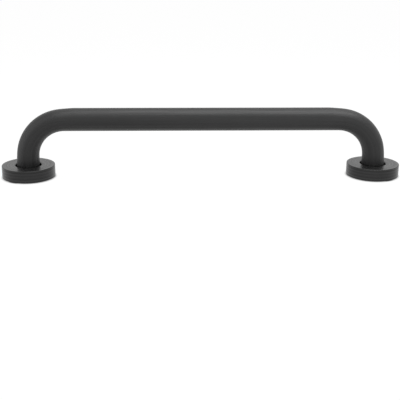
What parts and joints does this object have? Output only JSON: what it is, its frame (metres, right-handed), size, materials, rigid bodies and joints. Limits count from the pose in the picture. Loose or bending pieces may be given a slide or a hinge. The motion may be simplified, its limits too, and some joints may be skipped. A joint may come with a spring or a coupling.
{
  "type": "grab bar",
  "caption": "Straight wall grab bar: a bent round tube on welded flanges, each hidden under a loose round cover that slides along the leg.",
  "frame": {"origin": "on the wall face of the flanges, midway between the axes of the two legs", "axes": "+X along the rail, +Z away from the wall towards the rail, +Y across the rail"},
  "size_m": [0.564, 0.074, 0.098],
  "materials": {
    "rail_coat": "matt black coating on a bent steel tube",
    "flange_coat": "matt black coating on flat steel plate",
    "weld_coat": "matt black coating over a rippled weld",
    "cover_coat": "black coating over a spun, finely brushed sheet"
  },
  "bodies": {
    "bar": {"rail_tube": "rail_coat", "mounting_flange_left": "flange_coat", "mounting_flange_right": "flange_coat", "weld_bead_left": "weld_coat", "weld_bead_right": "weld_coat"},
    "cover_left": {"cover_left": "cover_coat"},
    "cover_right": {"cover_right": "cover_coat"}
  },
  "joints": [
    {"name": "cover_left_slide", "type": "slide", "parent": "bar", "child": "cover_left", "axis": [0, 0, 1], "range_m": [0, 0.02]},
    {"name": "cover_right_slide", "type": "slide", "parent": "bar", "child": "cover_right", "axis": [0, 0, 1], "range_m": [0, 0.02]}
  ]
}
